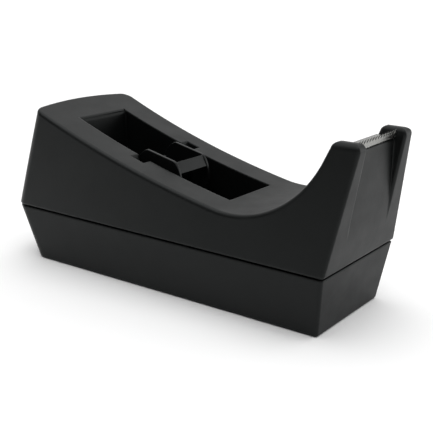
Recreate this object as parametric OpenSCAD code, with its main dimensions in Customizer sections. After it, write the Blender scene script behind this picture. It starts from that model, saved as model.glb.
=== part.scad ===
// Desktop tape dispenser for 19 mm tape on a 25 mm core.
// X runs from the rear to the cutter, Y across, Z up. The origin is the middle of the
// footprint, on the surface that the dispenser stands on.

/* [Body] */
// Overall height, from the surface to the tops of the cutter cheeks
total_h = 69.2; // [66:0.2:74]
// Height of the seam between the housing and the base
seam_z = 23.4; // [20:0.2:27]
// Distance from the origin back to the housing's rear corners at the seam
rear_x = 78.6; // [74:0.2:84]
// Distance from the origin forward to the housing's front face at the seam
front_x = 74.6; // [70:0.1:78]
// Width across the seam at the rear
rear_w = 60.2; // [56:0.2:66]
// Width across the seam at the front
front_w = 53.5; // [50:0.1:58]
// How far the middle of the rear face bows out behind its corners
rear_bow = 3.6; // [1:0.1:6]
// Lean of the rear face towards the front, in degrees from upright
rear_lean = 18; // [10:0.2:22]
// Lean of the front face away from the body, in degrees from upright
front_lean = 9.75; // [4:0.25:12]
// Inward lean of the side walls at the rear, in degrees
rear_draft = 1.95; // [0:0.05:4]
// Inward lean of the side walls at the front, in degrees
front_draft = 8.6; // [6:0.1:11]
// Wall thickness of both mouldings
wall = 2.2; // [1.8:0.1:2.6]

/* [Ramp and tower] */
// Distance from the origin forward to the ramp's lowest point
dip_x = 34.2; // [31:0.2:37]
// Height of the ramp's lowest point
dip_z = 39.1; // [37:0.1:41]
// Radius of the long, shallow ramp
ramp_r = 470; // [400:1:600]
// Radius of the curve that rises into the tower
tower_r = 38; // [34:0.5:40]
// Slope of the ramp where its two radii meet, in degrees
join_slope = 10.4; // [8:0.1:12]
// Slope of the tower's straight rear face, in degrees from level
tower_slope = 67; // [62:0.5:70]
// Half of the clear width between the cutter cheeks
cheek_gap = 14.3; // [13:0.1:15]
// Height of the landing that the cutter lies on
landing_z = 65.4; // [65:0.1:67]
// Distance from the origin forward to the front panel's top edge
panel_top_x = 77.6; // [76:0.1:79]
// Height at which the front panel starts to fall back between the cheeks
panel_low_z = 40; // [34:0.2:46]

/* [Tape well] */
// Distance from the origin back to the well's rear wall
well_rear = 52; // [49:0.2:55]
// Distance from the origin forward to the well's front wall
well_front = 26.4; // [22:0.2:28]
// Half of the well's clear width
well_half = 13.4; // [12:0.1:14]
// Wall thickness of the well
well_wall = 2; // [1.6:0.1:2.4]
// Radius of the well's upright corners
well_corner = 0.8; // [0.5:0.1:2]

/* [Hub] */
// Distance from the origin back to the hub's axis
hub_back = 13.6; // [11:0.1:16]
// Height of the hub's axis
hub_z = 40.8; // [38:0.1:42]
// Radius of the hub, a slip fit in the tape's core
hub_r = 12.7; // [12:0.05:12.7]
// Overall width of the hub across its two discs
hub_w = 18.8; // [17:0.1:19]
// Thickness of each disc
disc_t = 1.3; // [1:0.1:1.6]
// Distance from the axis to the flat on the discs
flat_d = 10.2; // [9:0.1:11]
// Lean of the flat towards the cutter, in degrees
flat_lean = 12; // [0:1:45]
// Diameter of the axle
axle_d = 5; // [4:0.1:5.4]
// Backward lean of the notches that hold the axle, in degrees from upright
notch_lean = 17.5; // [10:0.5:22]
// Distance from the middle of the body to the blind end of each notch
notch_half = 17.5; // [17:0.1:18]

/* [Cutter] */
// Thickness of the cutter's steel strip
blade_t = 0.7; // [0.5:0.1:0.8]
// Distance from the origin forward to the cutter's rear edge
blade_rear = 70.9; // [70.6:0.1:73]
// Distance from the origin forward to the cutter's tooth tips
blade_front = 78.9; // [78.5:0.1:79.5]
// Height of the tooth tips
tooth_tip_z = 68.9; // [68.6:0.1:69.4]
// Height of each tooth
tooth_h = 1.8; // [0.6:0.1:1.8]
// Number of teeth
teeth = 14; // [10:1:24]
// Forward lean of the toothed lip, in degrees from upright
lip_lean = 15; // [0:1:25]

/* [Base] */
// How far the grip pad stands below the base
pad_proud = 0.2; // [0.2:0.1:1]
// Thickness of the grip pad
pad_t = 1.5; // [1.2:0.1:2]
// Inset of the base's bottom edge from the seam at the rear
base_in_rear = 8.4; // [5:0.1:10]
// Inset of the base's bottom edge from the seam at the front
base_in_front = 3.4; // [2:0.1:5]
// Inset of the base's bottom edge from the seam at the sides, at the rear
base_in_side = 2; // [1:0.1:4]
// Inset of the base's bottom edge from the seam at the sides, at the front
base_in_nose = 4; // [1:0.1:5]
// Step inwards from the housing's edge to the base's top edge
seam_step = 0.3; // [0.2:0.1:0.6]
// Width of the open groove at the seam
seam_gap = 0.5; // [0.3:0.1:0.6]
// Thickness of the base's floor above the pad
floor_t = 1.8; // [1.5:0.1:2.4]

/* [Hidden] */
$fn = 48;
// Corner radii of the body's plan outline
rear_corner_r = 4.8;
front_corner_r = 1.2;
bottom_edge_r = 0.6;
cheek_rear_r = 2;
cheek_front_r = 2.4;
levels = 12;            // rings in the housing's loft
reach = 100;            // larger than the body in every direction

// Running and assembly gaps
fit_gap = 0.075;        // axle to hub bore, on the radius
seat_gap = 0.3;         // axle to notch, on each side
side_gap = 0.4;         // hub bosses to well walls
end_gap = 0.3;          // axle ends to notch ends
lay_gap = 0.3;          // well, ballast and other loose stacks

// Seam and base
housing_z = seam_z + seam_gap / 2;
base_top_z = seam_z - seam_gap / 2;
floor_z = pad_t + floor_t;
base_wall = wall + 0.3;    // also carries the tongue
tongue_t = 1.5;
tongue_up = 2.2;
tongue_down = 3;
pad_in = 3.4;

// Screws, bosses and posts
screw_spots = [[-64, 17], [-64, -17], [60, 13], [60, -13]];
screw_d = 3;
screw_len = 12;
head_d = 5.6;
head_h = 2;
seat_z = 9;             // where the screw heads bear
post_top_z = 14;
post_d = 8.6;
boss_d = 7.4;
bore_d = 6.4;
hole_d = 3.4;

// Cutter, held by two tabs in slots in the landing
tab_x = 75;
tab_y = 8.5;
tab_w = 5;
tab_len = 3;
tab_gap = 0.1;
blade_half = cheek_gap - 0.2;
panel_edge_r = 1.2;

// Hub
bore_r = axle_d / 2 + fit_gap;
tube_r = 4.2;
rib_out = 12.3;         // from the axis to each rib's outer face
rib_t = 1.4;
rib_w = 5;
rib_turns = [49.5, 169.5, 270];  // from the flat's normal towards the cutter

// Ballast
ballast_top_z = 19.8;

function lerp(a, b, t) = a + (b - a) * t;
function unit(v) = v / norm(v);
function polar(r, angle) = [r * cos(angle), r * sin(angle)];

// Half the width of the housing at station x and height z
function half_w(x, z) =
    let (t = (x + rear_x) / (rear_x + front_x))
    lerp(rear_w, front_w, t) / 2 - (z - seam_z) * tan(lerp(rear_draft, front_draft, t));

// Points of the arc of radius r that rounds corner b on the way from a to c
function fillet(a, b, c, r, n = 5) =
    let (u = unit(a - b), v = unit(c - b), half = acos(u * v) / 2,
         centre = b + unit(u + v) * r / sin(half),
         from = b + u * r / tan(half) - centre,
         turn = cross(a - b, c - b) > 0 ? -1 : 1,
         start = atan2(from.y, from.x))
    [for (i = [0 : n]) centre + polar(r, start + turn * (180 - 2 * half) * i / n)];

// Plan outline: a trapezoid with rounded corners and a bowed rear edge
function outline(rear, front, rear_half, front_half, rr, fr) =
    let (corner = [rear, rear_half], nose = [front, front_half], steps = 4,
         bow = [for (i = [1 : 2 * steps - 1])
                    let (s = i / steps - 1) [rear - rear_bow * (1 - s * s), s * rear_half]])
    concat(bow,
           fillet(bow[len(bow) - 1], corner, nose, rr),
           fillet(corner, nose, [front, 0], fr),
           fillet([front, 0], [nose.x, -nose.y], [corner.x, -corner.y], fr),
           fillet([nose.x, -nose.y], [corner.x, -corner.y], bow[0], rr));

// The housing's outline at height z, drawn in by an inset
function housing_ring(z, inset = 0) =
    let (rear = -rear_x + (z - seam_z) * tan(rear_lean),
         front = front_x + (z - seam_z) * tan(front_lean))
    [for (p = outline(rear + inset, front - inset, half_w(rear, z) - inset,
                      half_w(front, z) - inset, rear_corner_r, front_corner_r)) [p.x, p.y, z]];

// The base's outline at height z, drawn in by an inset from the seam outline
function base_ring(z, inset) =
    let (t = (seam_z - z) / (seam_z - pad_proud))
    [for (p = outline(-rear_x + base_in_rear * t + inset, front_x - base_in_front * t - inset,
                      rear_w / 2 - base_in_side * t - inset,
                      front_w / 2 - base_in_nose * t - inset,
                      rear_corner_r, front_corner_r)) [p.x, p.y, z]];

// A closed solid through rings of equal length, from the lowest to the highest
module loft(rings) {
    n = len(rings[0]);
    last = len(rings) - 1;
    polyhedron(
        points = [for (ring = rings, p = ring) p],
        faces = concat(
            [[for (i = [n - 1 : -1 : 0]) i]],
            [[for (i = [0 : n - 1]) last * n + i]],
            [for (k = [0 : last - 1], i = [0 : n - 1])
                [k * n + i, k * n + (i + 1) % n, (k + 1) * n + i]],
            [for (k = [0 : last - 1], i = [0 : n - 1])
                [k * n + (i + 1) % n, (k + 1) * n + (i + 1) % n, (k + 1) * n + i]]),
        convexity = 6);
}

// Side view of everything below the ramp and the tower, lowered by an inset
function side_view(inset, low) =
    let (r1 = ramp_r + inset, r2 = tower_r + inset,
         c2 = [dip_x, dip_z + tower_r],
         c1 = c2 + polar(ramp_r - tower_r, 90 - join_slope),
         rear_slope = asin(sin(join_slope) + (reach - 5) / r1),
         top = total_h - inset,
         slope_end = c2 + polar(r2, tower_slope - 90),
         crest = slope_end + polar((top - slope_end.y) / sin(tower_slope), tower_slope),
         nose = [front_x + (top - seam_z) * tan(front_lean) - inset, top],
         nose_low = [front_x + (low - seam_z) * tan(front_lean) - inset, low],
         rr = max(cheek_rear_r - inset, 0.3), fr = max(cheek_front_r - inset, 0.3))
    concat(
        [for (i = [0 : 28]) c1 + polar(r1, -90 - lerp(rear_slope, join_slope, i / 28))],
        [for (i = [1 : 24]) c2 + polar(r2, -90 + lerp(-join_slope, tower_slope, i / 24))],
        fillet(slope_end, crest, nose, rr),
        fillet(crest, nose, nose_low, fr),
        [nose_low, [-reach, low]]);

module side_prism(points, half = reach) {
    rotate([90, 0, 0])
        linear_extrude(height = 2 * half, center = true)
            polygon(points);
}

module housing_form(inset = 0, low = housing_z) {
    intersection() {
        loft([for (k = [0 : levels])
                  housing_ring(lerp(low, total_h + 1, k / levels), inset)]);
        side_prism(side_view(inset, low));
    }
}

// The space between the cheeks: above the landing and in front of the panel
module cheek_space(grow = 0) {
    low = panel_low_z - grow;
    foot = front_x + (panel_low_z - seam_z) * tan(front_lean) - grow;
    edge = [panel_top_x - grow, landing_z - grow];
    side_prism(concat(
        [[foot, low]],
        fillet([foot, low], edge, [dip_x, edge.y], panel_edge_r),
        [[dip_x, edge.y], [dip_x, reach], [reach, reach], [reach, low]]),
        cheek_gap + grow);
}

// An upright block with four round corners
module round_block(x0, x1, half_y, z0, z1, r) {
    translate([x0 + r, -half_y, z0]) cube([x1 - x0 - 2 * r, 2 * half_y, z1 - z0]);
    translate([x0, r - half_y, z0]) cube([x1 - x0, 2 * (half_y - r), z1 - z0]);
    for (x = [x0 + r, x1 - r], y = [-1, 1])
        translate([x, y * (half_y - r), z0]) cylinder(r = r, h = z1 - z0);
}

module at_hub() {
    translate([-hub_back, 0, hub_z]) children();
}

// A slot with a round foot, centred on the hub's axis and leaning back as it rises
module notch(r, half) {
    at_hub() {
        rotate([90, 0, 0]) cylinder(r = r, h = 2 * half, center = true);
        rotate([0, -notch_lean, 0])
            translate([-r, -half, 0]) cube([2 * r, 2 * half, reach / 2]);
    }
}

module upper_housing() color([0.16, 0.165, 0.17]) {
    difference() {
        union() {
            difference() {
                housing_form();
                difference() {
                    housing_form(wall, housing_z - 1);
                    cheek_space(wall);
                }
            }
            intersection() {
                housing_form(wall / 2, 0);
                union() {
                    round_block(-well_rear - well_wall, well_front + well_wall,
                                well_half + well_wall, floor_z + lay_gap, reach,
                                well_corner + well_wall);
                    notch(axle_d / 2 + seat_gap + well_wall, notch_half + well_wall);
                    for (p = screw_spots)
                        translate([p.x, p.y, post_top_z]) cylinder(d = boss_d, h = reach);
                }
            }
        }
        cheek_space();
        round_block(-well_rear, well_front, well_half, 0, reach, well_corner);
        notch(axle_d / 2 + seat_gap, notch_half);
        for (p = screw_spots)
            translate([p.x, p.y, 0]) cylinder(d = screw_d, h = seat_z + screw_len + 1);
        cutter_tabs(tab_gap, tab_len + 2);
    }
}

module base_tray() color([0.17, 0.175, 0.18]) {
    difference() {
        union() {
            difference() {
                loft(concat(
                    [for (a = [90 : -18 : 0])
                        base_ring(pad_proud + bottom_edge_r * (1 - sin(a)),
                                  seam_step + bottom_edge_r * (1 - cos(a)))],
                    [base_ring(base_top_z, seam_step)]));
                loft([base_ring(floor_z, seam_step + base_wall),
                      base_ring(seam_z + 1, seam_step + base_wall)]);
            }
            difference() {
                loft([base_ring(base_top_z - tongue_down, wall + 0.2),
                      base_ring(base_top_z, wall + 0.2),
                      housing_ring(housing_z + tongue_up, wall + 0.2)]);
                loft([base_ring(base_top_z - tongue_down - 1, wall + 0.2 + tongue_t),
                      base_ring(base_top_z, wall + 0.2 + tongue_t),
                      housing_ring(housing_z + tongue_up + 1, wall + 0.2 + tongue_t)]);
            }
            for (p = screw_spots)
                translate([p.x, p.y, floor_z - 1]) cylinder(d = post_d, h = post_top_z - floor_z + 1);
        }
        pad_form(pad_in - 0.1, pad_t - 1, 2);
        for (p = screw_spots) translate([p.x, p.y, 0]) {
            cylinder(d = hole_d, h = reach);
            cylinder(d = bore_d, h = seat_z);
        }
    }
}

// The pad's outline, drawn in from the base's bottom edge, between two heights
module pad_form(inset, z1, drop = 0) {
    translate([0, 0, -drop]) linear_extrude(height = z1 + 1 + drop)
        polygon([for (p = base_ring(pad_proud, seam_step + inset)) [p.x, p.y]]);
}

module ballast_block() color([0.55, 0.54, 0.52]) {
    inset = seam_step + base_wall + 0.4;
    difference() {
        loft([base_ring(floor_z + lay_gap, inset), base_ring(ballast_top_z, inset)]);
        round_block(-well_rear - well_wall - lay_gap, well_front + well_wall + lay_gap,
                    well_half + well_wall + lay_gap, 0, reach, well_corner + well_wall);
        for (p = screw_spots)
            translate([p.x, p.y, 0]) cylinder(d = post_d + 2 * lay_gap, h = reach);
    }
}

module grip_pad() color([0.1, 0.1, 0.1]) {
    pad_form(pad_in, pad_t - 1);
}

module base_screws() color([0.62, 0.63, 0.65]) {
    for (p = screw_spots) translate([p.x, p.y, seat_z]) difference() {
        union() {
            cylinder(d = screw_d, h = screw_len);
            translate([0, 0, -head_h]) cylinder(d = head_d, h = head_h);
        }
        for (turn = [0, 90]) rotate(turn)
            translate([0, 0, -head_h]) cube([3.2, 0.9, 2.4], center = true);
    }
}

// The cutter's tabs, or the slots that take them
module cutter_tabs(grow, length) {
    for (side = [-1, 1])
        translate([tab_x - grow, side * tab_y - tab_w / 2 - grow, landing_z - length])
            cube([blade_t + 2 * grow, tab_w + 2 * grow, length + blade_t / 2]);
}

module cutter_blade() color([0.78, 0.79, 0.8]) {
    lip = (tooth_tip_z - landing_z) / cos(lip_lean);
    root = lip - tooth_h;
    foot_x = blade_front - lip * sin(lip_lean);
    pitch = 2 * blade_half / teeth;
    translate([blade_rear, -blade_half, landing_z])
        cube([foot_x - blade_rear, 2 * blade_half, blade_t]);
    cutter_tabs(0, tab_len);
    translate([foot_x, -blade_half, landing_z]) rotate([0, lip_lean, 0]) translate([-blade_t, 0, 0]) {
        cube([blade_t, 2 * blade_half, root]);
        for (i = [0 : teeth - 1])
            translate([0, i * pitch, root])
                rotate([90, 0, 90]) linear_extrude(height = blade_t)
                    polygon([[0, -0.1], [pitch, -0.1], [pitch, 0], [pitch / 2, tooth_h], [0, 0]]);
    }
}

module hub_axle() color([0.7, 0.71, 0.72]) {
    half = notch_half - end_gap;
    chamfer = 0.4;
    at_hub() rotate([90, 0, 0]) {
        cylinder(d = axle_d, h = 2 * (half - chamfer), center = true);
        for (side = [0, 1]) mirror([0, 0, side]) translate([0, 0, half - chamfer])
            cylinder(d1 = axle_d, d2 = axle_d - 2 * chamfer, h = chamfer);
    }
}

module hub_spool() color([0.08, 0.08, 0.085]) {
    boss_half = well_half - side_gap;
    inner_half = hub_w / 2 - disc_t;
    at_hub() rotate([0, flat_lean, 0]) rotate([90, 0, 0]) difference() {
        union() {
            difference() {
                for (z = [-hub_w / 2, inner_half])
                    translate([0, 0, z]) cylinder(r = hub_r, h = disc_t, $fn = 96);
                translate([-reach / 2, flat_d, -reach / 2]) cube(reach);
            }
            for (turn = rib_turns) rotate(90 - turn)
                translate([rib_out - rib_t, -rib_w / 2, -inner_half - 0.4])
                    cube([rib_t, rib_w, 2 * inner_half + 0.8]);
            cylinder(r = tube_r, h = 2 * boss_half, center = true);
        }
        cylinder(r = bore_r, h = reach, center = true);
    }
}

upper_housing();
base_tray();
ballast_block();
grip_pad();
base_screws();
cutter_blade();
hub_axle();
hub_spool();
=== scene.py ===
"""The looks of a weighted desktop tape dispenser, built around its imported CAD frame.

Moulded parts are closed meshes of distance fields, which give their large fillets as geometry.
Lengths in the fields are millimetres in the frame's axes; meshes are in metres.
"""

import math

import bmesh
import bpy
import numpy as np
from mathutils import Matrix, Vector


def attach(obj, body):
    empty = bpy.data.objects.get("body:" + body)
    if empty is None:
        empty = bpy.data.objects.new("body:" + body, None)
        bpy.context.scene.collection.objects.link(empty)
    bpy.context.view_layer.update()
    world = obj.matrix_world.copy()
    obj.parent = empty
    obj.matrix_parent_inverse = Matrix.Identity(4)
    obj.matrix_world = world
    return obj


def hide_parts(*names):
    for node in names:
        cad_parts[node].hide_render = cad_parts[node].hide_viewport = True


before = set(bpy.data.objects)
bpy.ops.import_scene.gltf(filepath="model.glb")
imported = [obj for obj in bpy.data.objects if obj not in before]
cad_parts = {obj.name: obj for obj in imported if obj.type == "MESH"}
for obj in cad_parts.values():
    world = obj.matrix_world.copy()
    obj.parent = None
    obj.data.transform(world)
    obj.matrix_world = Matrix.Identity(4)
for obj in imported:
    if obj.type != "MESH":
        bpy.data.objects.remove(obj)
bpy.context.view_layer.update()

# The body's main sizes, as in the CAD source (mm and degrees)
TOTAL_H, SEAM_Z, SEAM_GAP = 69.2, 23.4, 0.5
REAR_X, FRONT_X, REAR_W, FRONT_W, REAR_BOW = 78.6, 74.6, 60.2, 53.5, 3.6
REAR_LEAN, FRONT_LEAN, REAR_DRAFT, FRONT_DRAFT = 18.0, 9.75, 1.95, 8.6
WALL, EDGE_R, SEAM_R = 2.2, 1.5, 1.1
REAR_R, NOSE_R, CHEEK_R, RIM_R, CAP_R, BROW_R = 4.8, 1.2, 1.6, 1.1, 2.2, 3.3
DIP_X, DIP_Z, RAMP_R, TOWER_R, JOIN, SLOPE = 34.2, 39.1, 470.0, 38.0, 10.4, 67.0
CHEEK_GAP, LANDING_Z, PANEL_X, PANEL_LOW = 14.3, 65.4, 77.6, 40.0
WELL_REAR, WELL_FRONT, WELL_HALF, WELL_WALL, WELL_R = 52.0, 26.4, 13.4, 2.0, 0.8
HUB_X, HUB_Z, HUB_R, HUB_W, DISC_T = -13.6, 40.8, 12.7, 18.8, 1.3
FLAT_D, FLAT_LEAN, AXLE_R, BORE_R, TUBE_R = 10.2, 12.0, 2.5, 2.575, 4.2
RIB_OUT, RIB_T, RIB_W, RIB_TURNS = 12.3, 1.4, 5.0, (49.5, 169.5, 270.0)
NOTCH_LEAN, NOTCH_R, NOTCH_HALF = 17.5, 2.8, 17.5
PAD_PROUD, PAD_T, FLOOR_Z, BASE_WALL = 0.2, 1.5, 3.3, 2.5
IN_REAR, IN_FRONT, IN_SIDE, IN_NOSE, SEAM_STEP = 8.4, 3.4, 2.0, 4.0, 0.3
SPOTS = [(-64, 17), (-64, -17), (60, 13), (60, -13)]
TAB_X, TAB_Y = 75.35, 8.5
BLADE_T, BLADE_REAR, BLADE_FRONT, TIP_Z = 0.7, 70.9, 78.9, 68.9
TOOTH_H, TEETH, LIP_LEAN = 1.8, 14, 15.0
BLADE_HALF = CHEEK_GAP - 0.2

# Half the width that the rear's bow spreads over, and the rounding of the landing's front edge
BOW_HALF, LANDING_R = 29.6, 1.2
# Screw bosses in the housing and posts in the base: radii and heights
BOSS_R, BOSS_LOW, PILOT_R, PILOT_TOP = 3.7, 14, 1.5, 22
POST_R, POST_TOP, CLEAR_R, HEAD_R, HEAD_TOP = 4.3, 14, 1.7, 3.2, 9
# The slots for the cutter's tabs: half their thickness and width, and their floor
SLOT_T, SLOT_W, SLOT_LOW = 0.45, 2.6, 61


# ---------------------------------------------------------------- distance fields

def tan(degrees):
    return math.tan(math.radians(degrees))


def polar(r, degrees):
    return r * math.cos(math.radians(degrees)), r * math.sin(math.radians(degrees))


def both(a, b, r=0.0):
    """Inside both fields, with the edge between them rounded to radius r."""
    if r <= 0:
        return np.maximum(a, b)
    return np.minimum(np.maximum(a, b), -r) + np.hypot(np.maximum(a + r, 0), np.maximum(b + r, 0))


def either(a, b, r=0.0):
    """Inside at least one field, with the corner between them filled to radius r."""
    return -both(-a, -b, r)


def block(x0, x1, half_y, x, y, r):
    """An upright prism with round corners, without ends."""
    qx = abs(x - (x0 + x1) / 2) - (x1 - x0) / 2 + r
    qy = abs(y) - half_y + r
    return np.minimum(np.maximum(qx, qy), 0) + np.hypot(np.maximum(qx, 0), np.maximum(qy, 0)) - r


def front_wall(x, z):
    """The housing's leaning front face."""
    return (x - FRONT_X - (z - SEAM_Z) * tan(FRONT_LEAN)) * math.cos(math.radians(FRONT_LEAN))


def body_walls(x, y, z):
    """The housing's rear, side and front walls."""
    t = (x + REAR_X) / (REAR_X + FRONT_X)
    draft = tan(REAR_DRAFT) + (tan(FRONT_DRAFT) - tan(REAR_DRAFT)) * t
    half = (REAR_W + (FRONT_W - REAR_W) * t) / 2 - (z - SEAM_Z) * draft
    side = (abs(y) - half) / np.sqrt(1 + draft ** 2)
    rear = (-REAR_X + (z - SEAM_Z) * tan(REAR_LEAN) - x
            - REAR_BOW * (1 - np.minimum(abs(y) / BOW_HALF, 1.1) ** 2)) * math.cos(math.radians(REAR_LEAN))
    return both(both(side, rear, REAR_R), front_wall(x, z), NOSE_R)


def body_top(x, z):
    """The ramp, the tower's rear face and the cheeks' tops."""
    c2x, c2z = DIP_X, DIP_Z + TOWER_R
    dx, dz = polar(RAMP_R - TOWER_R, 90 - JOIN)
    ex, ez = polar(TOWER_R, SLOPE - 90)
    ramp = RAMP_R - np.hypot(x - c2x - dx, z - c2z - dz)
    bend = TOWER_R - np.hypot(x - c2x, z - c2z)
    nx, nz = polar(1, SLOPE + 90)
    rise = (x - c2x - ex) * nx + (z - c2z - ez) * nz
    jx, jz = polar(1, -JOIN)
    sx, sz = polar(1, SLOPE)
    before = (x - c2x) * jx + (z - c2z) * jz < 0
    after = (x - c2x) * sx + (z - c2z) * sz > 0
    chain = np.where(before, ramp, np.where(after, rise, bend))
    return both(chain, z - TOTAL_H, CHEEK_R)


def body_form(x, y, z):
    """The housing's outer form: its walls and top, with their edges rounded."""
    walls, cap = body_walls(x, y, z), z - TOTAL_H
    return np.maximum(np.maximum(both(walls, body_top(x, z), EDGE_R), both(walls, cap, CAP_R)),
                      both(front_wall(x, z), cap, BROW_R))


def between_cheeks(x, y, z):
    """What the space between the cheeks leaves: the cheeks, landing and panel, and these with the
    cheeks' upper edges rounded."""
    foot = FRONT_X + (PANEL_LOW - SEAM_Z) * tan(FRONT_LEAN)
    length = math.hypot(PANEL_X - foot, LANDING_Z - PANEL_LOW)
    panel = ((x - foot) * (LANDING_Z - PANEL_LOW) - (z - PANEL_LOW) * (PANEL_X - foot)) / length
    low = both(panel, z - LANDING_Z, LANDING_R)
    sharp = np.minimum(x - DIP_X, either(CHEEK_GAP - abs(y), low, 0.15))
    capped = np.minimum(x - DIP_X, either(both(CHEEK_GAP - abs(y), body_top(x, z), CAP_R), low, 0.15))
    return sharp, capped


def well(x, y):
    return block(-WELL_REAR, WELL_FRONT, WELL_HALF, x, y, WELL_R)


def notch(x, y, z, r, half):
    dx, dz = polar(1, 90 + NOTCH_LEAN)
    along = (x - HUB_X) * dx + (z - HUB_Z) * dz
    across = abs((x - HUB_X) * dz - (z - HUB_Z) * dx)
    return np.maximum(np.where(along < 0, np.hypot(along, across), across) - r, abs(y) - half)


def spots(x, y, r):
    return np.minimum.reduce([np.hypot(x - p[0], y - p[1]) for p in SPOTS]) - r


def housing_outside(x, y, z):
    sharp, capped = between_cheeks(x, y, z)
    return np.maximum(both(body_form(x, y, z), sharp, RIM_R), capped)


def housing_voids(x, y, z):
    return np.minimum(well(x, y), notch(x, y, z, NOTCH_R, NOTCH_HALF))


def housing(x, y, z, soft=0.0):
    low = SEAM_Z + SEAM_GAP / 2 - z
    form = body_form(x, y, z)
    kept, capped = between_cheeks(x, y, z)
    shell = np.maximum(np.maximum(both(both(form, low, SEAM_R), kept, RIM_R), capped),
                       -(np.maximum(form, kept) + WALL))
    tub = block(-WELL_REAR - WELL_WALL, WELL_FRONT + WELL_WALL, WELL_HALF + WELL_WALL,
                x, y, WELL_R + WELL_WALL)
    inner = np.minimum(np.maximum(tub, FLOOR_Z + 0.3 - z),
                       notch(x, y, z, NOTCH_R + WELL_WALL, NOTCH_HALF + WELL_WALL))
    inner = np.minimum(inner, np.maximum(spots(x, y, BOSS_R), BOSS_LOW - z))
    inner = np.maximum(np.maximum(inner, form + WALL / 2), kept + WALL / 2)
    solid = both(np.minimum(shell, inner), -housing_voids(x, y, z), max(soft, 0.25))
    eased = np.maximum(np.maximum(abs(y) - WELL_HALF, x + WELL_REAR - 0.5),
                       -both(form, x + WELL_REAR, 1.5))
    solid = np.maximum(solid, -eased)
    solid = np.maximum(solid, -np.maximum(spots(x, y, PILOT_R), z - PILOT_TOP))
    slot = np.maximum(np.maximum(abs(x - TAB_X) - SLOT_T, abs(abs(y) - TAB_Y) - SLOT_W), SLOT_LOW - z)
    return np.maximum(solid, -slot)


def base_walls(x, y, z, inset):
    """The base's sloping walls, drawn in by an inset from the seam's outline."""
    t = (SEAM_Z - z) / (SEAM_Z - PAD_PROUD)
    rear = -REAR_X + IN_REAR * t + inset
    front = FRONT_X - IN_FRONT * t - inset
    near, far = REAR_W / 2 - IN_SIDE * t - inset, FRONT_W / 2 - IN_NOSE * t - inset
    half = near + (far - near) * (x - rear) / (front - rear)
    lean_side = math.cos(math.atan((IN_SIDE + IN_NOSE) / 2 / (SEAM_Z - PAD_PROUD)))
    lean_rear = math.cos(math.atan(IN_REAR / (SEAM_Z - PAD_PROUD)))
    lean_front = math.cos(math.atan(IN_FRONT / (SEAM_Z - PAD_PROUD)))
    back = (rear - REAR_BOW * (1 - np.minimum(abs(y) / near, 1.1) ** 2) - x) * lean_rear
    return both(both((abs(y) - half) * lean_side, back, REAR_R), (x - front) * lean_front, NOSE_R)


def base(x, y, z, soft=0.0):
    top = SEAM_Z - SEAM_GAP / 2
    walls = base_walls(x, y, z, SEAM_STEP)
    outer = both(both(walls, z - top, 0.4), PAD_PROUD - z, 0.7)
    tray = np.maximum(outer, -np.maximum(walls + BASE_WALL, FLOOR_Z - z))
    rim = base_walls(x, y, z, WALL + 0.2)
    tongue = np.maximum(np.maximum(rim, -rim - 1.5), np.maximum(top - 3 - z, z - top - 2.6))
    posts = np.maximum(spots(x, y, POST_R), np.maximum(z - POST_TOP, FLOOR_Z - 1 - z))
    solid = np.minimum(np.minimum(tray, tongue), posts)
    recess = np.maximum(base_walls(x, y, np.full_like(z, PAD_PROUD), SEAM_STEP + 3.3), z - PAD_T)
    bores = np.minimum(spots(x, y, CLEAR_R), np.maximum(spots(x, y, HEAD_R), z - HEAD_TOP))
    return both(both(solid, -recess, soft), -bores, soft)


def hub(x, y, z, soft=0.0):
    """The hub about its own axis: x and z from the axis with the flat towards +z, y along it."""
    r = np.hypot(x, z)
    inner_half = HUB_W / 2 - DISC_T
    away = abs(y)
    disc = both(both(r - HUB_R, z - FLAT_D, 0.5), both(away - HUB_W / 2, inner_half - away, soft), 0.3)
    ribs = []
    for turn in RIB_TURNS:
        s, c = math.sin(math.radians(turn)), math.cos(math.radians(turn))
        rib = both(abs(x * s + z * c - RIB_OUT + RIB_T / 2) - RIB_T / 2,
                   abs(x * c - z * s) - RIB_W / 2, 0.25)
        ribs.append(np.maximum(rib, away - inner_half - 0.4))
    tube = both(r - TUBE_R, away - WELL_HALF + 0.4, 0.3)
    solid = either(either(disc, np.minimum.reduce(ribs), 0.25), tube, 0.3)
    return both(solid, BORE_R - r, max(soft, 0.2))


# ---------------------------------------------------------------- meshes from fields

def slopes(field, p, soft):
    """Unit gradients of a field at points."""
    e, out = 0.004, np.empty_like(p)
    for a in range(3):
        q = p.copy()
        q[:, a] += e
        out[:, a] = field(*q.T, soft)
        q[:, a] -= 2 * e
        out[:, a] -= field(*q.T, soft)
    return out / np.maximum(np.linalg.norm(out, axis=1), 1e-12)[:, None]


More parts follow.
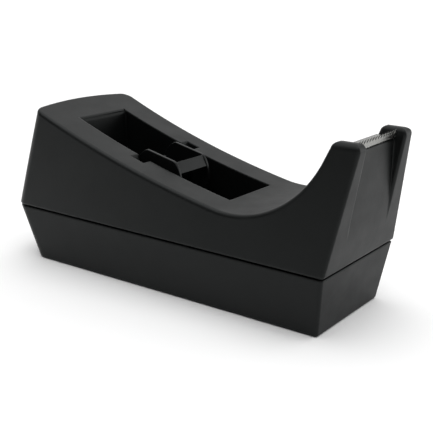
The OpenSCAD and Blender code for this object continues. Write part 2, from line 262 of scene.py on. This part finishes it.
def crossings(field, axes, step):
    """Where grid edges cross the surface: points, and the four cells round each edge."""
    values = field(*np.ix_(*axes), 0.0)
    inside = values < 0
    shape = tuple(len(a) - 1 for a in axes)
    points, cells = [], []
    for a in range(3):
        b, c = (a + 1) % 3, (a + 2) % 3
        one = tuple(slice(None, -1) if i == a else slice(None) for i in range(3))
        two = tuple(slice(1, None) if i == a else slice(None) for i in range(3))
        at = np.argwhere(inside[one] != inside[two])
        to = at.copy()
        to[:, a] += 1
        f0, f1 = values[tuple(at.T)], values[tuple(to.T)]
        rising = f0 < 0
        start = np.stack([axes[i][at[:, i]] for i in range(3)], 1)
        t0, t1 = np.zeros(len(at)), np.ones(len(at))
        for _ in range(4):
            t = np.clip((t0 * f1 - t1 * f0) / (f1 - f0), t0 + 0.02 * (t1 - t0), t1 - 0.02 * (t1 - t0))
            p = start.copy()
            p[:, a] += t * step
            f = field(*p.T, 0.0)
            low = (f < 0) == rising
            t0, f0 = np.where(low, t, t0), np.where(low, f, f0)
            t1, f1 = np.where(low, t1, t), np.where(low, f1, f)
        points.append(p)
        ring = []
        for ob, oc in ((0, 0), (1, 0), (1, 1), (0, 1)):
            cell = at.copy()
            cell[:, b] -= ob
            cell[:, c] -= oc
            ring.append(np.ravel_multi_index(tuple(cell.T), shape))
        ring = np.stack(ring, 1)
        cells.append(np.where(rising[:, None], ring, ring[:, ::-1]))
    return np.concatenate(points), np.concatenate(cells), shape


def contour(field, low, high, step):
    """Dual contouring: one point for each cell that the surface crosses, on its sharp edges."""
    axes = [np.arange(lo - 1.37 * step, hi + 2.4 * step, step) for lo, hi in zip(low, high)]
    p, cells, shape = crossings(field, axes, step)
    n = slopes(field, p, 0.0)
    active, rows = np.unique(cells.ravel(), return_inverse=True)
    rows = rows.reshape(-1)

    def total(q):
        return np.bincount(rows, np.repeat(q, 4), len(active))

    count = total(np.ones(len(p)))
    mean = np.stack([total(p[:, i]) / count for i in range(3)], 1)
    matrix = np.empty((len(active), 3, 3))
    for i in range(3):
        for j in range(i, 3):
            matrix[:, i, j] = matrix[:, j, i] = total(n[:, i] * n[:, j])
    d = (n * p).sum(1)
    rest = np.stack([total(n[:, i] * d) for i in range(3)], 1) - np.einsum("nij,nj->ni", matrix, mean)
    w, v = np.linalg.eigh(matrix)
    inverse = np.where(w > 0.05 * w[:, 2:], 1 / np.maximum(w, 1e-9), 0)
    found = mean + np.einsum("nij,nj->ni", v, inverse * np.einsum("nji,nj->ni", v, rest))
    corner = np.stack([axes[i][k] for i, k in enumerate(np.unravel_index(active, shape))], 1)
    return np.clip(found, corner, corner + step), rows.reshape(-1, 4)


def fill_mesh(me, points, faces):
    me.vertices.add(len(points))
    me.vertices.foreach_set("co", (points / 1000).astype(np.float32).ravel())
    me.loops.add(faces.size)
    me.loops.foreach_set("vertex_index", faces.astype(np.int32).ravel())
    me.polygons.add(len(faces))
    me.polygons.foreach_set("loop_start", np.arange(0, faces.size, faces.shape[1], dtype=np.int32))
    me.update(calc_edges=True)


def moulding(name, field, low, high, step, soft, shown):
    """A closed mesh of a field. Curves and edges that show keep the grid's step; flats are thinned."""
    points, quads = contour(field, low, high, step)
    normals = slopes(field, points, soft)
    bent = np.zeros(len(points), bool)
    level = (normals[quads] * normals[quads[:, :1]]).sum(2).min(1)
    bent[quads[level < math.cos(math.radians(3.5))].ravel()] = True
    for _ in range(2):
        bent[quads[bent[quads].any(1)].ravel()] = True
    kept = bent & shown(*points.T)
    me = bpy.data.meshes.new(name)
    fill_mesh(me, points, quads)
    o = bpy.data.objects.new(name, me)
    bpy.context.scene.collection.objects.link(o)
    group = o.vertex_groups.new(name="thin")
    group.add(np.flatnonzero(~kept).tolist(), 1.0, "REPLACE")
    dense = kept[quads].any(1).sum()
    thin = o.modifiers.new("thin", "DECIMATE")
    thin.vertex_group = "thin"
    thin.ratio = min(1.0, (dense + 0.06 * (len(quads) - dense)) / len(quads))
    small = bpy.data.meshes.new_from_object(o.evaluated_get(bpy.context.evaluated_depsgraph_get()))
    o.modifiers.clear()
    o.vertex_groups.clear()
    o.data = small
    small.name = name
    bpy.data.meshes.remove(me)
    co = np.empty(len(small.vertices) * 3)
    small.vertices.foreach_get("co", co)
    smooth = slopes(field, co.reshape(-1, 3) * 1000, soft)
    small.polygons.foreach_set("use_smooth", np.ones(len(small.polygons), bool))
    small.normals_split_custom_set_from_vertices(smooth.tolist())
    print(name, len(quads), "->", len(small.polygons))
    return o


def finish_mesh(name, bm, angle=35):
    me = bpy.data.meshes.new(name)
    bmesh.ops.recalc_face_normals(bm, faces=bm.faces)
    bm.to_mesh(me)
    bm.free()
    me.polygons.foreach_set("use_smooth", np.ones(len(me.polygons), bool))
    me.set_sharp_from_angle(angle=math.radians(angle))
    o = bpy.data.objects.new(name, me)
    bpy.context.scene.collection.objects.link(o)
    return o


def lathe(bm, profile, place, steps=64):
    """A solid turned about Y: profile is (y, r) pairs from end to end, place moves each point."""
    rings = []
    for y, r in profile:
        ring = []
        for k in range(steps):
            a = 2 * math.pi * k / steps
            ring.append(bm.verts.new(place(Vector((r * math.cos(a), y, r * math.sin(a)))) / 1000))
        rings.append(ring)
    for one, two in zip(rings, rings[1:]):
        for k in range(steps):
            bm.faces.new((one[k], one[(k + 1) % steps], two[(k + 1) % steps], two[k]))
    bm.faces.new(rings[0][::-1])
    bm.faces.new(rings[-1])


def soften(o, width, segments=2, angle=35):
    m = o.modifiers.new("edges", "BEVEL")
    m.width, m.segments, m.limit_method, m.angle_limit = width, segments, "ANGLE", math.radians(angle)
    m.harden_normals = True
    return o


# ---------------------------------------------------------------- pieces

STEP = 0.5


def hub_in_place(x, y, z, soft=0.0):
    s, c = math.sin(math.radians(FLAT_LEAN)), math.cos(math.radians(FLAT_LEAN))
    u, w = x - HUB_X, z - HUB_Z
    return hub(u * c - w * s, y, u * s + w * c, soft)


def make_housing():
    def shown(x, y, z):
        return (housing_outside(x, y, z) > -0.4) | ((housing_voids(x, y, z) < 0.4) & (z > 26))
    o = moulding("housing_shell", housing, (-82.2, -30.2, 3.6), (82.1, 30.2, 69.2), STEP, 0.45, shown)
    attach(o, "body")
    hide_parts("upper_housing")
    return o


def make_base():
    def shown(x, y, z):
        outside = base_walls(x, y, z, SEAM_STEP) > -0.4
        return (outside & (z < 23.4)) | (z < 1.0) | ((spots(x, y, 3.6) < 0) & (z < 9.5))
    o = moulding("base_shell", base, (-82.0, -30.1, 0.2), (74.5, 30.1, 25.8), STEP, 0.4, shown)
    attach(o, "body")
    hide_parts("base_tray")
    return o


def make_hub():
    o = moulding("tape_hub", hub_in_place, (HUB_X - HUB_R, -13, HUB_Z - HUB_R),
                 (HUB_X + HUB_R, 13, HUB_Z + HUB_R), STEP * 0.44, 0.15, lambda x, y, z: x == x)
    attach(o, "hub")
    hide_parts("hub_spool")
    return o


def make_axle():
    half, c = NOTCH_HALF - 0.3, 0.4
    profile = [(-half, 0.6), (-half, AXLE_R - c - 0.05), (-half + 0.06, AXLE_R - c), (-half + c, AXLE_R)]
    profile += [(y, AXLE_R) for y in (-8, 0, 8)] + [(-y, r) for y, r in profile[::-1]]
    bm = bmesh.new()
    lathe(bm, profile, lambda v: v + Vector((HUB_X, 0, HUB_Z)))
    o = finish_mesh("hub_pin", bm)
    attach(o, "axle")
    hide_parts("hub_axle")
    return o


def make_cutter():
    """One bent strip: a flat plate, a rounded bend to a leaning lip, and teeth along its top."""
    bend_r, steps = 0.8, 6
    dx, dz = polar(1, 90 - LIP_LEAN)
    length = (TIP_Z - LANDING_Z) / dz
    foot_x = BLADE_FRONT - length * dx
    cx, cz = foot_x - bend_r * (1 - dx) / dz, LANDING_Z + bend_r

    def arc(r):
        turns = [-90 + (90 - LIP_LEAN) * k / steps for k in range(steps + 1)]
        return [(cx + r * math.cos(math.radians(a)), cz + r * math.sin(math.radians(a))) for a in turns]

    def on_lip(along, depth):
        return foot_x + along * dx - depth * dz, LANDING_Z + along * dz + depth * dx

    outer = [(BLADE_REAR, LANDING_Z)] + arc(bend_r)
    inner = [(BLADE_REAR, LANDING_Z + BLADE_T)] + arc(bend_r - BLADE_T)
    root, pitch = length - TOOTH_H, 2 * BLADE_HALF / TEETH
    bm = bmesh.new()
    rows = []
    for i in range(2 * TEETH + 1):
        # A tooth is ground to an edge at the strip's outer face
        top, thick = (length, 0.25) if i % 2 else (root, BLADE_T)
        ring = outer + [on_lip(top, 0), on_lip(top, thick), on_lip(root - 0.15, BLADE_T)] + inner[::-1]
        y = -BLADE_HALF + i * pitch / 2
        rows.append([bm.verts.new((x / 1000, y / 1000, z / 1000)) for x, z in ring])
    n = len(rows[0])
    for one, two in zip(rows, rows[1:]):
        for k in range(n):
            bm.faces.new((one[k], one[(k + 1) % n], two[(k + 1) % n], two[k]))
    bm.faces.new(rows[0][::-1])
    bm.faces.new(rows[-1])
    o = finish_mesh("cutter_strip", bm, 30)
    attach(o, "body")
    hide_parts("cutter_blade")
    return o


# ---------------------------------------------------------------- materials

def nodes_of(name):
    m = bpy.data.materials.new(name)
    m.use_nodes = True
    t = m.node_tree
    return m, t, t.nodes["Principled BSDF"]


def add(t, kind, **settings):
    n = t.nodes.new(kind)
    for key, value in settings.items():
        if hasattr(n, key):
            setattr(n, key, value)
        else:
            n.inputs[key.replace("_", " ").title()].default_value = value
    return n


def noise(t, where, scale, detail=2.0, rough=0.5):
    n = add(t, "ShaderNodeTexNoise", scale=scale, detail=detail, roughness=rough)
    t.links.new(where, n.inputs["Vector"])
    return n.outputs["Fac"]


def spread(t, value, low, high):
    """Maps a noise value onto a range."""
    n = t.nodes.new("ShaderNodeMapRange")
    n.inputs["From Min"].default_value, n.inputs["From Max"].default_value = 0.3, 0.7
    n.inputs["To Min"].default_value, n.inputs["To Max"].default_value = low, high
    t.links.new(value, n.inputs["Value"])
    return n.outputs["Result"]


def shades(t, value, low, high):
    n = t.nodes.new("ShaderNodeValToRGB")
    n.color_ramp.elements[0].position, n.color_ramp.elements[1].position = 0.3, 0.7
    n.color_ramp.elements[0].color, n.color_ramp.elements[1].color = (*low, 1), (*high, 1)
    t.links.new(value, n.inputs["Fac"])
    return n.outputs["Color"]


def bumped(t, shader, value, distance, strength=1.0, under=None):
    n = t.nodes.new("ShaderNodeBump")
    n.inputs["Distance"].default_value, n.inputs["Strength"].default_value = distance, strength
    t.links.new(value, n.inputs["Height"])
    if under is not None:
        t.links.new(under, n.inputs["Normal"])
    t.links.new(n.outputs["Normal"], shader.inputs["Normal"])
    return n.outputs["Normal"]


def moulded(name, low, high, rough, grain, specular):
    """Black moulded plastic: spark-eroded grain, faint flow shading and handling polish."""
    m, t, s = nodes_of(name)
    where = add(t, "ShaderNodeTexCoord").outputs["Object"]
    s.inputs["Specular IOR Level"].default_value = specular
    s.inputs["Specular Tint"].default_value = (0.95, 1.0, 0.99, 1.0)
    t.links.new(shades(t, noise(t, where, 45, 3), low, high), s.inputs["Base Color"])
    polish = spread(t, noise(t, where, 90, 4, 0.6), rough - 0.04, rough + 0.05)
    t.links.new(polish, s.inputs["Roughness"])
    coarse = bumped(t, s, noise(t, where, 900, 2), grain, 0.6)
    bumped(t, s, noise(t, where, 2600, 2), grain * 0.5, 0.6, coarse)
    return m


def steel(name, low, high, rough, stretch, line_scale=1.0):
    """Rolled or drawn steel: fine lines along one direction."""
    m, t, s = nodes_of(name)
    where = add(t, "ShaderNodeTexCoord").outputs["Object"]
    s.inputs["Metallic"].default_value = 1.0
    n = t.nodes.new("ShaderNodeMapping")
    n.inputs["Scale"].default_value = stretch
    t.links.new(where, n.inputs["Vector"])
    lines = noise(t, n.outputs["Vector"], line_scale, 3, 0.6)
    t.links.new(shades(t, lines, low, high), s.inputs["Base Color"])
    t.links.new(spread(t, lines, rough - 0.06, rough + 0.08), s.inputs["Roughness"])
    bumped(t, s, lines, 0.000008, 0.5)
    return m


def rough_block(name, low, high, rough, scale, depth):
    m, t, s = nodes_of(name)
    where = add(t, "ShaderNodeTexCoord").outputs["Object"]
    t.links.new(shades(t, noise(t, where, scale / 3, 4), low, high), s.inputs["Base Color"])
    t.links.new(spread(t, noise(t, where, scale, 2), rough - 0.06, rough + 0.06), s.inputs["Roughness"])
    bumped(t, s, noise(t, where, scale, 4, 0.6), depth, 0.8)
    return m


def give(o, material):
    o.data.materials.clear()
    o.data.materials.append(material)


housing_black = moulded("housing_plastic", (0.0029, 0.0032, 0.0032), (0.0040, 0.0044, 0.0044),
                        0.42, 0.00002, 0.19)
base_black = moulded("base_plastic", (0.0046, 0.0050, 0.0050), (0.0060, 0.0065, 0.0066),
                     0.46, 0.00002, 0.17)
hub_black = moulded("hub_plastic", (0.0035, 0.0036, 0.0038), (0.0048, 0.0050, 0.0052),
                    0.32, 0.000006, 0.22)
blade_steel = steel("blade_steel", (0.21, 0.21, 0.2), (0.3, 0.3, 0.285), 0.24, (3000, 60, 3000))
axle_steel = steel("axle_steel", (0.42, 0.42, 0.42), (0.56, 0.56, 0.56), 0.28, (3000, 60, 3000))
screw_steel = steel("screw_steel", (0.46, 0.47, 0.48), (0.62, 0.62, 0.63), 0.26, (400, 400, 400))
iron = rough_block("ballast_iron", (0.10, 0.095, 0.09), (0.19, 0.18, 0.17), 0.7, 900, 0.0001)
foam = rough_block("pad_foam", (0.012, 0.012, 0.012), (0.022, 0.022, 0.022), 0.88, 2200, 0.00008)

give(make_housing(), housing_black)
give(make_base(), base_black)
give(make_hub(), hub_black)
give(make_axle(), axle_steel)
give(make_cutter(), blade_steel)
for node, material in (("ballast_block", iron), ("grip_pad", foam), ("base_screws", screw_steel)):
    give(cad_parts[node], material)
soften(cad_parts["base_screws"], 0.00015)
soften(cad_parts["grip_pad"], 0.00025)
soften(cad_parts["ballast_block"], 0.0005)


# ---------------------------------------------------------------- floor, light and camera

def make_floor():
    """A flat, pale floor that runs far past the picture on every side."""
    bm = bmesh.new()
    bmesh.ops.create_grid(bm, x_segments=40, y_segments=40, size=6)
    o = finish_mesh("floor", bm)
    m, t, s = nodes_of("floor_paper")
    where = add(t, "ShaderNodeTexCoord").outputs["Object"]
    paper = shades(t, noise(t, where, 3, 2), (0.91, 0.91, 0.91), (0.93, 0.93, 0.93))
    t.links.new(paper, s.inputs["Base Color"])
    s.inputs["Roughness"].default_value = 0.9
    s.inputs["Specular IOR Level"].default_value = 0.1
    give(o, m)


def lamp(name, kind, at, energy, **settings):
    """A soft light that looks at the object."""
    light = bpy.data.lights.new(name, kind)
    light.energy = energy
    for key, value in settings.items():
        setattr(light, key, value)
    o = bpy.data.objects.new(name, light)
    o.location = at
    o.rotation_mode = "QUATERNION"
    o.rotation_quaternion = (Vector((0, 0, 0.03)) - Vector(at)).to_track_quat("-Z", "Y")
    o.visible_camera = False
    bpy.context.scene.collection.objects.link(o)


def make_world():
    """A studio's light from all round: brighter above and behind, darker in front."""
    world = bpy.data.worlds.new("studio")
    bpy.context.scene.world = world
    world.use_nodes = True
    t = world.node_tree
    glow = t.nodes["Background"]
    axes = add(t, "ShaderNodeSeparateXYZ")
    t.links.new(add(t, "ShaderNodeTexCoord").outputs["Generated"], axes.inputs[0])
    parts = []
    for axis, low, high, dim, full in (("Z", 0.0, 0.7, 0.55, 1.0), ("Y", -0.7, 0.4, 0.2, 1.15),
                                       ("X", 0.9, -0.1, 0.5, 1.0)):
        n = add(t, "ShaderNodeMapRange", interpolation_type="SMOOTHSTEP")
        for key, value in (("From Min", low), ("From Max", high), ("To Min", dim), ("To Max", full)):
            n.inputs[key].default_value = value
        t.links.new(axes.outputs[axis], n.inputs["Value"])
        parts.append(n.outputs["Result"])
    total = parts[0]
    for part in parts[1:]:
        product = add(t, "ShaderNodeMath", operation="MULTIPLY")
        t.links.new(total, product.inputs[0])
        t.links.new(part, product.inputs[1])
        total = product.outputs[0]
    t.links.new(total, glow.inputs["Strength"])
    glow.inputs["Color"].default_value = (1, 1, 1, 1)


make_floor()
make_world()
lamp("key", "SUN", (0.12, -0.16, 1.0), 1.95, angle=math.radians(70))
lamp("side", "AREA", (0.55, 0.62, 0.2), 1.0, shape="RECTANGLE", size=0.5, size_y=0.4)

camera = bpy.data.cameras.new("camera")
camera.lens, camera.sensor_width = 65.87, 36
camera.clip_start, camera.clip_end = 0.01, 30
eye = bpy.data.objects.new("camera", camera)
eye.location = (0.195873, -0.240767, 0.123232)
a, e = math.radians(37.713), math.radians(17.564)
back = Vector((math.sin(a) * math.cos(e), -math.cos(a) * math.cos(e), math.sin(e)))
eye.rotation_mode = "QUATERNION"
eye.rotation_quaternion = (-back).to_track_quat("-Z", "Y")
bpy.context.scene.collection.objects.link(eye)
bpy.context.scene.camera = eye
bpy.context.scene.view_settings.view_transform = "Standard"

bpy.context.view_layer.update()
